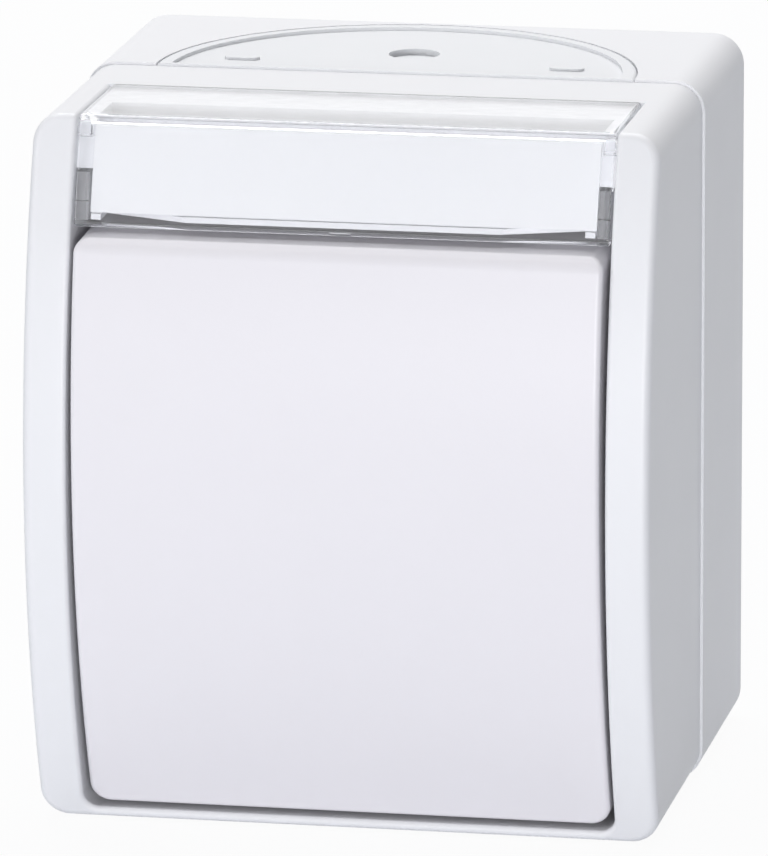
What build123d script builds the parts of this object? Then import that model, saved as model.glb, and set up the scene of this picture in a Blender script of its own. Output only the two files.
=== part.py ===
"""Surface-mount rocker wall switch with a clear label window.

Frame: the wall is the plane y = 0, the switch faces -Y, +X is to the right seen from the front
and +Z is up. Sizes are in millimetres and degrees. A depth is a distance from the wall.
"""
import os
from math import radians, sin, sqrt

from build123d import *

# Housing
box_width = 70.0
box_height = 80.0
corner_radius = 3.2
front_depth = 64.0
front_sag = 8.0
split_depth = 28.0
shell_wall = 2.4
floor_thickness = 2.4
front_edge_round = 1.0
rear_step = 0.3
smallest_radius = 0.4
edge_tolerance = 0.04

# Joint of the two halves
rebate_width = 1.2
rebate_depth = 2.0
seal_height = 1.1
seal_clearance = 0.1
tongue_clearance = 0.15

# Cable entry in the top of the rear box
entry_radius = 27.2
entry_flange = 1.2
entry_ledge = 2.2
entry_fit = 0.1
entry_rim_width = 1.6
entry_rim_round = 0.35
entry_sink = 0.4
entry_lip = 0.6
entry_bead = 0.4
entry_bead_height = 1.0
dimple_radius = 2.9
dimple_depth = 0.7
dimple_setback = 12.1
pip_length = 4.0
pip_width = 1.6
pip_height = 0.3
pip_spread = 37.2
pip_setback = 6.0

# Wall fixing and rear entry
wall_hole_radius = 2.3
wall_hole_spread = 48.0
wall_hole_rise = 63.0
wall_collar_radius = 4.4
wall_collar_height = 1.2
knockout_radius = 9.0
knockout_groove = 0.8
knockout_depth = 1.4

# Front frame
cheek_width = 4.9
sill_thickness = 1.1
bay_depth = 20.5
partition_thickness = 2.0
cheek_inner_wall = 1.3
cheek_outer_wall = 1.8
cheek_core_inset = 10.0
cheek_core_height = 66.0
bay_edge_round = 0.5
bay_corner_radius = 1.8

# Label window and label
window_height = 11.9
window_back_reach = 2.6
window_wall = 1.1
window_inset = 0.3
window_fit = 0.25
window_edge_round = 0.6
window_end_round = 0.3
window_bend_round = 0.5
lip_height = 1.2
lip_rise = 0.6
notch_width = 2.4
notch_depth = 0.5
latch_thickness = 1.5
latch_height = 5.6
latch_inset = 14.0
latch_hook = 0.6
latch_hook_length = 1.5
lug_radius = 0.55
lug_length = 0.8
lug_inset = 9.1
lug_drop = 2.0
lug_web = 1.2
label_side_gap = 0.15
label_thickness = 0.4
label_gap = 0.4
label_edge_gap = 0.15
trough_inset = 17.3
trough_width = 6.3
trough_sink = 2.2
beam_floor = 2.2
beam_core_height = 4.0
beam_core_inset = 14.0
beam_core_margin = 4.0
tray_pocket_width = 10.0
tray_pocket_inset = 1.2
tray_pocket_reach = 3.0

# Rocker
rocker_side_gap = 0.65
rocker_top_gap = 0.25
rocker_bottom_gap = 1.05
rocker_wall = 2.0
rocker_skirt = 1.6
rocker_back_gap = 3.5
rocker_edge_round = 0.6
rocker_brow_chamfer = 1.0
rocker_brow_round = 2.0
rocker_top_corner = 1.6
rocker_bottom_corner = 2.3
rocker_rib = 1.2
rocker_rib_height = 3.0
rocker_rib_spread = 40.0
rest_tilt = 2.5

# Rocker cradle
pivot_rise = 2.5
trunnion_radius = 2.0
trunnion_length = 3.5
trunnion_clearance = 0.05
cradle_width = 26.0
cradle_height = 26.0
cradle_rise = 3.5
cradle_plate = 2.0
cradle_cheek = 2.0
cradle_cheek_drop = 2.4
cradle_cheek_height = 8.0
clip_width = 10.0
clip_thickness = 1.4
clip_clearance = 0.15
clip_hook = 0.9
clip_hook_height = 1.1
pad_spread = 16.0
pad_height = 20.0
guide_wall = 1.3
guide_reach = 10.0
guide_end_wall = 1.0

# Plunger and its spring
plunger_radius = 2.2
plunger_clearance = 0.1
plunger_head_drop = 4.0
plunger_gap = 0.3
plunger_nose_round = 2.0
spring_wire = 0.7
spring_radius = 1.65
spring_turns = 5

# Switch insert
bridge_depth = 30.0
bridge_thickness = 1.2
bridge_side_gap = 1.6
bridge_opening_width = 30.0
bridge_opening_height = 26.0
bridge_corner = 4.0
base_width = 44.0
base_height = 40.0
base_back_depth = 9.0
base_wall = 2.0
base_floor = 2.5
base_corner = 1.5
pillar_size = 4.8
rib_thickness = 1.2
rib_offset = 7.0
rib_height = 10.0
cover_thickness = 2.0
collar_width = 38.0
collar_height = 32.0
collar_wall = 1.3
collar_corner = 3.0
cover_opening_width = 22.0
cover_opening_height = 20.0
post_height = 9.0
post_gap = 0.4
post_front = 3.0
snap_slot = 3.4
insert_seal_height = 1.2

# Contacts and terminals
fulcrum_depth = 18.0
contact_thickness = 1.2
contact_width = 7.0
contact_length = 25.0
contact_corner = 2.3
contact_tilt = 7.0
contact_ear = 0.6
contact_ear_length = 1.5
contact_ear_height = 4.0
contact_fit = 0.3
knife_base = 4.0
knife_gap = 0.05
tip_radius = 1.7
tip_thickness = 0.8
tip_offset = 11.0
tip_gap = 0.12
strip_thickness = 1.0
strip_width = 5.0
terminal_offset = 12.0
terminal_width = 7.0
terminal_length = 9.0
terminal_thickness = 7.0
terminal_screw_depth = 15.0
wire_bore_radius = 1.6
wire_bore_inset = 6.0

# Fasteners
screw_radius = 1.5
screw_clearance = 0.3
thread_clearance = 0.05
screw_head_radius = 2.9
screw_head_height = 2.0
screw_head_round = 0.65
screw_slot = 0.8
screw_slot_depth = 0.9
boss_wall = 1.9
cover_screw_gap_top = 2.1
cover_screw_gap_bottom = 3.6
cover_screw_bite = 12.0
bridge_screw_bite = 8.0
terminal_screw_radius = 1.5
terminal_head_radius = 2.3
terminal_screw_bite = 4.2
rivet_radius = 1.2
rivet_head_radius = 1.9
rivet_head = 0.8
rivet_head_round = 0.4
rivet_bite = 6.0
rivet_inset = 2.3

# Places that follow from the sizes above
top_z = box_height / 2
half_width = box_width / 2
rear_top = top_z + rear_step
front_radius = (top_z**2 + front_sag**2) / (2 * front_sag)
crown_depth = front_depth - front_radius
bay_half = half_width - cheek_width
bay_bottom = sill_thickness - top_z
bay_front = front_depth - bay_depth
partition_depth = bay_front - partition_thickness
cheek_core_depth = front_depth - cheek_core_inset
inner_half = half_width - shell_wall
window_half = bay_half - window_fit
window_back_depth = partition_depth - window_back_reach
latch_depth = front_depth - latch_inset
latch_inner = window_half - latch_thickness
lug_depth = front_depth - lug_inset
lug_z = top_z - lug_drop
window_bottom = top_z - window_height
latch_top = window_bottom + latch_height
beam_bottom = window_bottom + lip_rise
label_ledge_inset = window_inset + window_wall + window_fit
tray_inset = window_inset + window_wall + label_gap + label_thickness
ledge_z = top_z - window_wall - window_fit
label_bottom = window_bottom + lip_height + label_edge_gap
label_top = ledge_z - label_edge_gap
label_half = latch_inner - label_side_gap
trough_back_depth = front_depth - trough_inset
beam_core_depth = front_depth - beam_core_inset
rocker_top = window_bottom - rocker_top_gap
rocker_bottom = bay_bottom + rocker_bottom_gap
rocker_height = rocker_top - rocker_bottom
rocker_half = bay_half - rocker_side_gap
rocker_back_depth = bay_front + rocker_back_gap
centre_z = (rocker_top + rocker_bottom) / 2
pivot_depth = bay_front + pivot_rise
entry_hole = entry_radius - entry_ledge
cradle_half = cradle_width / 2
cradle_depth = pivot_depth + cradle_rise
cradle_front = cradle_depth + cradle_plate
cradle_cheek_back = pivot_depth - cradle_cheek_drop
guide_back_depth = pivot_depth - guide_reach
plunger_head_depth = pivot_depth - plunger_head_drop
guide_radius = plunger_radius + plunger_clearance
contact_front = fulcrum_depth + contact_thickness
plunger_tip_depth = contact_front + plunger_gap
base_inner = base_back_depth + base_floor
cover_back = bridge_depth + bridge_thickness
cover_front = cover_back + cover_thickness
terminal_wall_z = base_height / 2 - base_wall
boss_radius = screw_radius + boss_wall
bridge_width = 2 * (inner_half - bridge_side_gap)
bridge_screw_x = (base_width / 2 + inner_half) / 2
cover_screw_top = centre_z + base_height / 2 + boss_radius + cover_screw_gap_top
cover_screw_bottom = centre_z - base_height / 2 - boss_radius - cover_screw_gap_bottom
rivet_x = base_width / 2 - rivet_inset
rivet_z = base_height / 2 - rivet_inset
cover_screw_places = [(0.0, cover_screw_top), (0.0, cover_screw_bottom)]
bridge_screw_places = [(side * bridge_screw_x, centre_z) for side in (-1, 1)]
wall_hole_places = [
    (i * wall_hole_spread / 2, k * wall_hole_rise / 2) for i in (-1, 1) for k in (-1, 1)
]
rivet_places = [(i * rivet_x, centre_z + k * rivet_z) for i in (-1, 1) for k in (-1, 1)]
terminal_places = {
    "common": (-terminal_offset, 1),
    "upper": (terminal_offset, 1),
    "lower": (terminal_offset, -1),
}


def slab(sketch, back, front):
    """Extrude a sketch seen from the front, from one depth to another."""
    return extrude(Plane.XZ.offset(back) * sketch, front - back)


def side_slab(sketch, left, right):
    """Extrude a sketch of depth against height, from one x to another."""
    plane = Plane((right, 0, 0), x_dir=(0, -1, 0), z_dir=(-1, 0, 0))
    return extrude(plane * sketch, right - left)


def block(left, right, back, front, low, high):
    """Box between two x values, two depths and two heights."""
    place = Pos((left + right) / 2, -(back + front) / 2, (low + high) / 2)
    return place * Box(right - left, front - back, high - low)


def level_block(left, right, back, front, height):
    """Box whose height is centred on the mechanism."""
    return block(left, right, back, front, centre_z - height / 2, centre_z + height / 2)


def sided(side, near, far, middle=0.0):
    """Two distances from a middle, put on one side of it in rising order."""
    return sorted((middle + side * near, middle + side * far))


def peg(x, z, radius, back, front):
    """Round bar along the depth."""
    return slab(Pos(x, z) * Circle(radius), back, front)


def crossbar(radius, depth, z, left, right):
    """Round bar along the width."""
    return side_slab(Pos(depth, z) * Circle(radius), left, right)


def upright(x, depth, radius, low, high):
    """Round bar along the height."""
    return Pos(x, -depth, (low + high) / 2) * Cylinder(radius, high - low)


def outline(inset=0.0):
    """Housing outline seen from the front, moved in by an inset."""
    radius = max(corner_radius - inset, smallest_radius)
    return RectangleRounded(box_width - 2 * inset, box_height - 2 * inset, radius)


def crown(inset=0.0):
    """Drum whose surface is the bowed front, moved in by an inset."""
    return crossbar(front_radius - inset, crown_depth, 0, -half_width, half_width)


def bow_depth(z, inset=0.0):
    """Depth of the bowed front at a height."""
    return crown_depth + sqrt((front_radius - inset) ** 2 - z**2)


def round_two(sheet, ends, radius):
    """Round the two lowest or the two highest corners of a sketch."""
    corners = sheet.vertices().sort_by(Axis.Y)
    return fillet(corners[:2] if ends == "low" else corners[-2:], radius)


def bowed_side(back, low, high, inset=0.0):
    """Side profile of depth against height, bowed at the front."""
    middle = (back + front_depth) / 2
    frame = Pos(middle, (low + high) / 2) * Rectangle(front_depth - back, high - low)
    return frame & Pos(crown_depth, 0) * Circle(front_radius - inset)


def front_corners(profile):
    """The lowest and the highest front corner of a side profile."""
    back = profile.bounding_box().min.X
    corners = profile.vertices().filter_by(lambda v: v.X > back + smallest_radius).sort_by(Axis.Y)
    return corners[0], corners[-1]


def round_front(body, radius):
    """Round the closed front edge of a bowed body, which runs on smoothly from its longest arc."""
    longest = body.edges().filter_by(GeomType.CIRCLE).sort_by(SortBy.LENGTH)[-1]
    return fillet(longest, radius)


def about_pivot(shape, depth, angle):
    """Turn a shape about the crosswise axis at a depth, at the mechanism's height."""
    return shape.rotate(Axis((0, -depth, centre_z), (1, 0, 0)), angle)


def frame_ring(outer_inset, inner_inset, back, front):
    """Ring that follows the housing outline."""
    return slab(outline(outer_inset) - outline(inner_inset), back, front)


def pan_screw(x, z, seat, end):
    """Slotted pan-head screw along the depth, its head in front of a seat."""
    head = peg(x, z, screw_head_radius, seat, seat + screw_head_height)
    head = fillet(head.faces().sort_by(Axis.Y)[0].edges(), screw_head_round)
    shank = peg(x, z, screw_radius, end, seat)
    slot = block(
        x - screw_head_radius, x + screw_head_radius,
        seat + screw_head_height - screw_slot_depth, seat + screw_head_height,
        z - screw_slot / 2, z + screw_slot / 2,
    )
    return head + shank - slot


def make_rear_box():
    """Open box against the wall, with bosses, posts, wall holes and the cable entry cut-out."""
    body = slab(outline(-rear_step), 0, split_depth)
    body -= slab(outline(shell_wall), floor_thickness, split_depth)
    body -= slab(outline(shell_wall - rebate_width), split_depth - rebate_depth, split_depth)
    for x, z in cover_screw_places:
        body += peg(x, z, boss_radius, floor_thickness, split_depth)
        body -= peg(x, z, screw_radius + thread_clearance, split_depth - cover_screw_bite, split_depth)
    for x, z in bridge_screw_places:
        body += peg(x, z, boss_radius, floor_thickness, bridge_depth)
        body -= peg(x, z, screw_radius + thread_clearance, bridge_depth - bridge_screw_bite, bridge_depth)
    for x, z in wall_hole_places:
        body += peg(x, z, wall_collar_radius, floor_thickness, floor_thickness + wall_collar_height)
        body -= peg(x, z, wall_hole_radius, 0, floor_thickness + wall_collar_height)
    groove = Circle(knockout_radius) - Circle(knockout_radius - knockout_groove)
    body -= slab(Pos(0, centre_z) * groove, floor_thickness - knockout_depth, floor_thickness)
    body -= upright(0, split_depth, entry_radius + entry_fit, rear_top - entry_flange, rear_top)
    body -= upright(0, split_depth, entry_hole, top_z - shell_wall, rear_top)
    return body


def make_cable_entry_insert():
    """Soft half-disc with a raised rim, a dimple to pierce and a bead that holds it in the wall."""
    seat = rear_top - entry_flange
    inside = top_z - shell_wall
    floor_z = rear_top - entry_sink
    seal_back = split_depth - rebate_depth
    reach = block(-half_width, half_width, 0, split_depth, 0, rear_top)
    behind_seal = block(-half_width, half_width, 0, seal_back, 0, rear_top)
    behind_lip = block(-half_width, half_width, 0, split_depth - entry_lip, 0, rear_top)
    flange = upright(0, split_depth, entry_radius, seat, rear_top)
    flange = fillet(flange.faces().sort_by(Axis.Z)[-1].edges(), entry_rim_round)
    flange -= upright(0, split_depth, entry_radius - entry_rim_width, floor_z, rear_top) & behind_lip
    body = upright(0, split_depth, entry_hole - entry_fit, inside - entry_fit, seat)
    bead_low = inside - entry_fit - entry_bead_height
    bead = upright(0, split_depth, entry_hole + entry_bead, bead_low, inside - entry_fit)
    insert = (flange & reach) + ((body + bead) & behind_seal)
    insert -= upright(0, split_depth - dimple_setback, dimple_radius, floor_z - dimple_depth, rear_top)
    pip = extrude(SlotOverall(pip_length, pip_width), pip_height)
    for side in (-1, 1):
        insert += Pos(side * pip_spread / 2, pip_setback - split_depth, floor_z) * pip
    return insert


def make_joint_seal():
    """Flat ring on the rear box's rebate."""
    back = split_depth - rebate_depth
    return frame_ring(shell_wall - rebate_width + seal_clearance, shell_wall, back, back + seal_height)


def make_front_frame():
    """Front half with two bowed cheeks, rocker bay, partition, label tray and screw tubes."""
    body = round_front(slab(outline(), split_depth, front_depth) & crown(), front_edge_round)
    body -= slab(outline(shell_wall), split_depth, partition_depth)
    bay = Pos(0, (beam_bottom + bay_bottom) / 2) * Rectangle(2 * bay_half, beam_bottom - bay_bottom)
    body -= slab(round_two(bay, "low", bay_corner_radius), bay_front, front_depth)
    opening = insert_ring_outline(collar_wall)
    body -= slab(opening, partition_depth, bay_front)
    body = cut_label_tray(body)
    body = fillet(body.edges().filter_by(on_cheek_edge), bay_edge_round)
    core_half = cheek_core_height / 2
    for side in (-1, 1):
        inner = side * (bay_half + cheek_inner_wall)
        outer = side * (half_width - cheek_outer_wall)
        body -= block(
            min(inner, outer), max(inner, outer), partition_depth, cheek_core_depth, -core_half, core_half
        )
    tongue_back = split_depth - rebate_depth + seal_height
    tongue_outer = shell_wall - rebate_width + tongue_clearance
    body += frame_ring(tongue_outer, shell_wall - tongue_clearance, tongue_back, split_depth)
    for x, z in cover_screw_places:
        body += peg(x, z, boss_radius, split_depth, partition_depth)
        body -= peg(x, z, screw_radius + screw_clearance, split_depth, bay_front)
    return body


def on_cheek_edge(edge):
    """Whether an edge is the inner front edge of a cheek."""
    middle = edge @ 0.5
    on_wall = abs(abs(middle.X) - bay_half) < edge_tolerance
    return on_wall and abs(-middle.Y - bow_depth(middle.Z)) < edge_tolerance


def cut_label_tray(body):
    """Cut the seat of the label window, the label's tray and the core behind it."""
    tray = block(-bay_half, bay_half, window_back_depth, front_depth, ledge_z, top_z)
    ledge_top = label_bottom - label_edge_gap
    tray += block(-bay_half, bay_half, bay_front, front_depth, beam_bottom, ledge_z) - crown(label_ledge_inset)
    tray += block(-bay_half, bay_half, bay_front, front_depth, ledge_top, ledge_z) - crown(tray_inset)
    trough_front = trough_back_depth + trough_width
    tray += block(-label_half, label_half, trough_back_depth, trough_front, ledge_z - trough_sink, ledge_z)
    slot_inner = latch_inner - window_fit
    slot_back = latch_depth - window_fit
    slot_top = latch_top + window_fit
    hook_front = latch_depth + latch_hook_length + window_fit
    web_back = lug_depth - lug_radius - window_fit
    web_low = lug_z - lug_radius - window_fit
    pocket = tray_pocket()
    for side in (-1, 1):
        left, right = sided(side, slot_inner, bay_half)
        tray += block(left, right, slot_back, front_depth, beam_bottom, slot_top)
        left, right = sided(side, slot_inner, slot_inner - latch_hook)
        tray += block(left, right, slot_back, hook_front, beam_bottom, slot_top)
        left, right = sided(side, window_half - lug_web - window_fit, bay_half)
        tray += block(left, right, web_back, front_depth, web_low, ledge_z)
        left, right = sided(side, bay_half, bay_half + cheek_inner_wall)
        tray += crossbar(lug_radius + window_fit, lug_depth, lug_z, left, right)
        tray += pocket if side > 0 else mirror(pocket, Plane.YZ)
    core_half = bay_half - beam_core_margin
    core_low = beam_bottom + beam_floor
    core_high = core_low + beam_core_height
    return body - tray - block(-core_half, core_half, partition_depth, beam_core_depth, core_low, core_high)


def tray_pocket():
    """Wedge under the right end of the label, deepest at its outer end."""
    outer = label_half - tray_pocket_inset
    inner = outer - tray_pocket_width
    deep = bow_depth(window_bottom, tray_inset + tray_pocket_reach)
    shallow = bow_depth(window_bottom, label_ledge_inset)
    plan = Polygon((inner, -shallow), (inner, -front_depth), (outer, -front_depth), (outer, -deep), align=None)
    return extrude(Plane.XY.offset(beam_bottom) * plan, label_bottom - beam_bottom)


def make_cover_screws():
    """Two long screws through the frame's tubes into the rear box."""
    end = split_depth - cover_screw_bite
    return Compound(children=[pan_screw(x, z, bay_front, end) for x, z in cover_screw_places])


def make_label_window():
    """Clear hood: sheet bent over the label's front and top, with two latches and two lugs."""
    outer = bowed_side(window_back_depth, window_bottom, top_z, window_inset)
    outer = fillet(front_corners(outer), window_edge_round)
    inner = bowed_side(window_back_depth, window_bottom, top_z - window_wall, window_inset + window_wall)
    inner = fillet(front_corners(inner)[1], window_bend_round)
    whole = side_slab(outer, -window_half, window_half)
    ends = whole.edges().filter_by(GeomType.CIRCLE).sort_by(SortBy.LENGTH)[-2:]
    whole = fillet(ends, window_end_round)
    hood = whole - side_slab(inner, -window_half, window_half)
    hook_front = latch_depth + latch_hook_length
    for side in (-1, 1):
        left, right = sided(side, latch_inner, window_half)
        hood += block(left, right, latch_depth, front_depth, beam_bottom, latch_top) & whole
        left, right = sided(side, latch_inner, latch_inner - latch_hook)
        hood += block(left, right, latch_depth, hook_front, beam_bottom, latch_top)
        left, right = sided(side, window_half - lug_web, window_half)
        hood += block(left, right, lug_depth - lug_radius, front_depth, lug_z - lug_radius, top_z) & whole
        left, right = sided(side, window_half, window_half + lug_length)
        hood += crossbar(lug_radius, lug_depth, lug_z, left, right)
    notch_depth_at = bow_depth(window_bottom, window_inset)
    return hood - crossbar(notch_depth, notch_depth_at, window_bottom, -notch_width / 2, notch_width / 2)


def make_label_strip():
    """Bowed card that fills the tray behind the window."""
    strip = block(-label_half, label_half, bay_front, front_depth, label_bottom, label_top)
    front = window_inset + window_wall + label_gap
    return strip & (crown(front) - crown(tray_inset))


def rocker_outline(inset=0.0):
    """Front outline of the rocker, with larger corners at the bottom."""
    width = 2 * (rocker_half - inset)
    height = rocker_height - 2 * inset
    sheet = Pos(0, centre_z) * Rectangle(width, height)
    sheet = round_two(sheet, "low", max(rocker_bottom_corner - inset, smallest_radius))
    return round_two(sheet, "high", max(rocker_top_corner - inset, smallest_radius))


def make_rocker():
    """Large bowed key with skirts, stiffening ribs, pads and the clips that grip the cradle."""
    back = rocker_back_depth
    profile = bowed_side(back, rocker_bottom, rocker_top)
    profile = chamfer(front_corners(profile)[1], rocker_brow_chamfer)
    brow = profile.vertices().sort_by(Axis.Y)[-3]
    profile = fillet(brow, rocker_brow_round)
    shell = side_slab(profile, -rocker_half, rocker_half) & slab(rocker_outline(), back, front_depth)
    shell = round_front(shell, rocker_edge_round)
    inner = bowed_side(back, rocker_bottom + rocker_skirt, rocker_top - rocker_skirt, rocker_wall)
    hollow = side_slab(inner, -rocker_half, rocker_half)
    shell -= hollow & slab(rocker_outline(rocker_skirt), back, front_depth)
    rib_back = crown(rocker_wall + rocker_rib_height)
    rib_half = rocker_half - rocker_skirt
    rib = rocker_rib / 2
    for side in (-1, 1):
        x = side * rocker_rib_spread / 2
        z = centre_z + side * rocker_rib_spread / 2
        upright_rib = level_block(x - rib, x + rib, back, front_depth, rocker_height)
        level_rib = block(-rib_half, rib_half, back, front_depth, z - rib, z + rib)
        shell += ((upright_rib + level_rib) - rib_back) & hollow
        x = side * pad_spread / 2
        shell += level_block(x - rib, x + rib, cradle_front, front_depth, pad_height) & hollow
        shell += make_clip(side) & hollow
    return about_pivot(shell, pivot_depth, rest_tilt)


def make_clip(side):
    """One clip leg of the rocker, hooked behind the cradle's upper or lower edge."""
    near = cradle_height / 2 + clip_clearance
    hook_front = cradle_depth - clip_clearance
    hook_back = hook_front - clip_hook_height
    low, high = sided(side, near, near + clip_thickness, centre_z)
    leg = block(-clip_width / 2, clip_width / 2, hook_back, front_depth, low, high)
    low, high = sided(side, near, near - clip_hook, centre_z)
    return leg + block(-clip_width / 2, clip_width / 2, hook_back, hook_front, low, high)


def make_rocker_cradle():
    """Inner rocker: plate, two cheeks with trunnions and the plunger's guide."""
    body = level_block(-cradle_half, cradle_half, cradle_depth, cradle_front, cradle_height)
    for side in (-1, 1):
        left, right = sided(side, cradle_half, cradle_half - cradle_cheek)
        body += level_block(left, right, cradle_cheek_back, cradle_depth, cradle_cheek_height)
        left, right = sided(side, cradle_half, cradle_half + trunnion_length)
        body += crossbar(trunnion_radius, pivot_depth, centre_z, left, right)
    body += peg(0, centre_z, guide_radius + guide_wall, guide_back_depth, cradle_depth)
    body -= peg(0, centre_z, guide_radius, guide_back_depth, cradle_depth - guide_end_wall)
    return about_pivot(body, pivot_depth, rest_tilt)


def make_plunger():
    """Round-nosed plunger that slides in the cradle's guide."""
    body = peg(0, centre_z, plunger_radius, plunger_tip_depth, plunger_head_depth)
    nose = body.faces().sort_by(Axis.Y)[-1].edges()
    body = fillet(nose, plunger_nose_round)
    return about_pivot(body, pivot_depth, rest_tilt)


def make_plunger_spring():
    """Compression spring between the plunger's head and the end of the guide."""
    length = cradle_depth - guide_end_wall - plunger_head_depth - spring_wire
    start = plunger_head_depth + spring_wire / 2
    coil = Helix(length / spring_turns, length, spring_radius, (0, -start, centre_z), (0, -1, 0))
    section = Plane(coil @ 0, z_dir=coil % 0) * Circle(spring_wire / 2)
    return about_pivot(sweep(section, coil), pivot_depth, rest_tilt)


def make_mounting_bridge():
    """Steel plate with an opening for the mechanism and holes for screws and rivets."""
    sheet = Pos(0, centre_z) * RectangleRounded(bridge_width, base_height, bridge_corner)
    sheet -= Pos(0, centre_z) * RectangleRounded(bridge_opening_width, bridge_opening_height, bridge_corner)
    for x, z in bridge_screw_places:
        sheet -= Pos(x, z) * Circle(screw_radius + screw_clearance)
    for x, z in rivet_places:
        sheet -= Pos(x, z) * Circle(rivet_radius + thread_clearance)
    return slab(sheet, bridge_depth, cover_back)


def make_bridge_screws():
    """Two short screws that hold the bridge on the box's posts."""
    end = bridge_depth - bridge_screw_bite
    return Compound(children=[pan_screw(x, z, cover_back, end) for x, z in bridge_screw_places])


def make_switch_base():
    """Contact carrier: tray with corner pillars, dividing ribs, wire holes and screw holes."""
    plan = Pos(0, centre_z) * RectangleRounded(base_width, base_height, base_corner)
    room = Pos(0, centre_z) * Rectangle(base_width - 2 * base_wall, base_height - 2 * base_wall)
    body = slab(plan, base_back_depth, bridge_depth) - slab(room, base_inner, bridge_depth)
    half_w = base_width / 2 - base_wall
    half_h = base_height / 2 - base_wall
    pillar = pillar_size - base_wall
    for i in (-1, 1):
        for k in (-1, 1):
            left, right = sided(i, half_w, half_w - pillar)
            low, high = sided(k, half_h, half_h - pillar, centre_z)
            body += block(left, right, base_inner, bridge_depth, low, high)
    for x, z in rivet_places:
        body -= peg(x, z, rivet_radius + thread_clearance, bridge_depth - rivet_bite, bridge_depth)
    for side in (-1, 1):
        x = side * rib_offset
        body += block(
            x - rib_thickness / 2, x + rib_thickness / 2, base_inner, base_inner + rib_height,
            centre_z - half_h, centre_z + half_h,
        )
    passage = strip_width / 2 + 2 * contact_fit
    left, right = -rib_offset - rib_thickness, rib_thickness - rib_offset
    body -= block(left, right, base_inner, bridge_depth, centre_z - passage, centre_z + passage)
    for side in (-1, 1):
        z = centre_z + side * tip_offset
        body -= block(-right, -left, base_inner, bridge_depth, z - passage, z + passage)
    for x, way in terminal_places.values():
        z = centre_z + way * (base_height / 2 - wire_bore_inset)
        body -= peg(x, z, wire_bore_radius, base_back_depth, base_inner)
        low, high = sided(way, terminal_wall_z, base_height / 2, centre_z)
        body -= upright(x, terminal_screw_depth, terminal_head_radius + screw_clearance, low, high)
    return body


def insert_ring_outline(inset=0.0):
    """Outline of the switch cover's collar, moved in by an inset."""
    radius = max(collar_corner - inset, smallest_radius)
    return Pos(0, centre_z) * RectangleRounded(collar_width - 2 * inset, collar_height - 2 * inset, radius)


def make_switch_cover():
    """Cover with a collar round the mechanism and two posts with snap-in bearings."""
    plan = Pos(0, centre_z) * RectangleRounded(base_width, base_height, base_corner)
    plan -= Pos(0, centre_z) * Rectangle(cover_opening_width, cover_opening_height)
    for x, z in rivet_places:
        plan -= Pos(x, z) * Circle(rivet_radius + thread_clearance)
    body = slab(plan, cover_back, cover_front)
    collar_front = partition_depth - insert_seal_height
    body += slab(insert_ring_outline() - insert_ring_outline(collar_wall), cover_front, collar_front)
    post_inner = cradle_half + post_gap
    post_outer = cradle_half + trunnion_length
    post_end = pivot_depth + post_front
    for side in (-1, 1):
        left, right = sided(side, post_inner, post_outer)
        post = level_block(left, right, cover_front, post_end, post_height)
        post -= crossbar(trunnion_radius + trunnion_clearance, pivot_depth, centre_z, left, right)
        body += post - level_block(left, right, pivot_depth, post_end, snap_slot)
    return body


def make_mechanism_seal():
    """Flat ring between the switch cover's collar and the frame's partition."""
    ring = insert_ring_outline() - insert_ring_outline(collar_wall)
    return slab(ring, partition_depth - insert_seal_height, partition_depth)


def make_mechanism_rivets():
    """Four rivets through the cover and the bridge into the base."""
    rivets = []
    for x, z in rivet_places:
        head = peg(x, z, rivet_head_radius, cover_front, cover_front + rivet_head)
        head = fillet(head.faces().sort_by(Axis.Y)[0].edges(), rivet_head_round)
        rivets.append(head + peg(x, z, rivet_radius, bridge_depth - rivet_bite, cover_front))
    return Compound(children=rivets)


def make_contact_rocker():
    """Change-over contact that tips on the knife edge, with two ears that keep it there."""
    plan = Pos(0, centre_z) * RectangleRounded(contact_width, contact_length, contact_corner)
    body = slab(plan, fulcrum_depth, contact_front)
    ear_back = fulcrum_depth - contact_ear_length
    for side in (-1, 1):
        left, right = sided(side, contact_width / 2, contact_width / 2 - contact_ear)
        body += level_block(left, right, ear_back, fulcrum_depth, contact_ear_height)
    return about_pivot(body, fulcrum_depth, -contact_tilt)


def tip_disc(side, back, front):
    """Contact disc at the upper or lower end of the contact rocker, before it is tipped."""
    return peg(0, centre_z + side * tip_offset, tip_radius, back, front)


def make_moving_tips():
    """Contact discs on the back of the contact rocker."""
    discs = [tip_disc(side, fulcrum_depth - tip_thickness, fulcrum_depth) for side in (-1, 1)]
    return Compound(children=[about_pivot(disc, fulcrum_depth, -contact_tilt) for disc in discs])


def make_fixed_tips():
    """Contact discs that the moving ones close on, each square to its closed position."""
    front = fulcrum_depth - tip_thickness - tip_gap
    discs = []
    for side in (-1, 1):
        disc = tip_disc(side, front - tip_thickness, front)
        discs.append(about_pivot(disc, fulcrum_depth, -side * contact_tilt))
    return Compound(children=discs)


def make_fixed_contact(side):
    """Strip from under one fixed tip to its terminal, with a foot on the base's floor."""
    front = fulcrum_depth - 2 * tip_thickness - tip_gap
    z = centre_z + side * tip_offset
    half = strip_width / 2
    reach = terminal_offset - terminal_width / 2
    pad = block(-half, reach, front - strip_thickness, front, z - half, z + half)
    pad = about_pivot(pad, fulcrum_depth, -side * contact_tilt)
    foot_offset = tip_offset + half - strip_thickness
    low, high = sided(side, foot_offset, foot_offset - strip_thickness, centre_z)
    foot_front = front - strip_thickness / 2 - foot_offset * sin(radians(contact_tilt))
    foot = block(-half, half, base_inner, foot_front, low, high)
    return pad + foot


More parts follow.
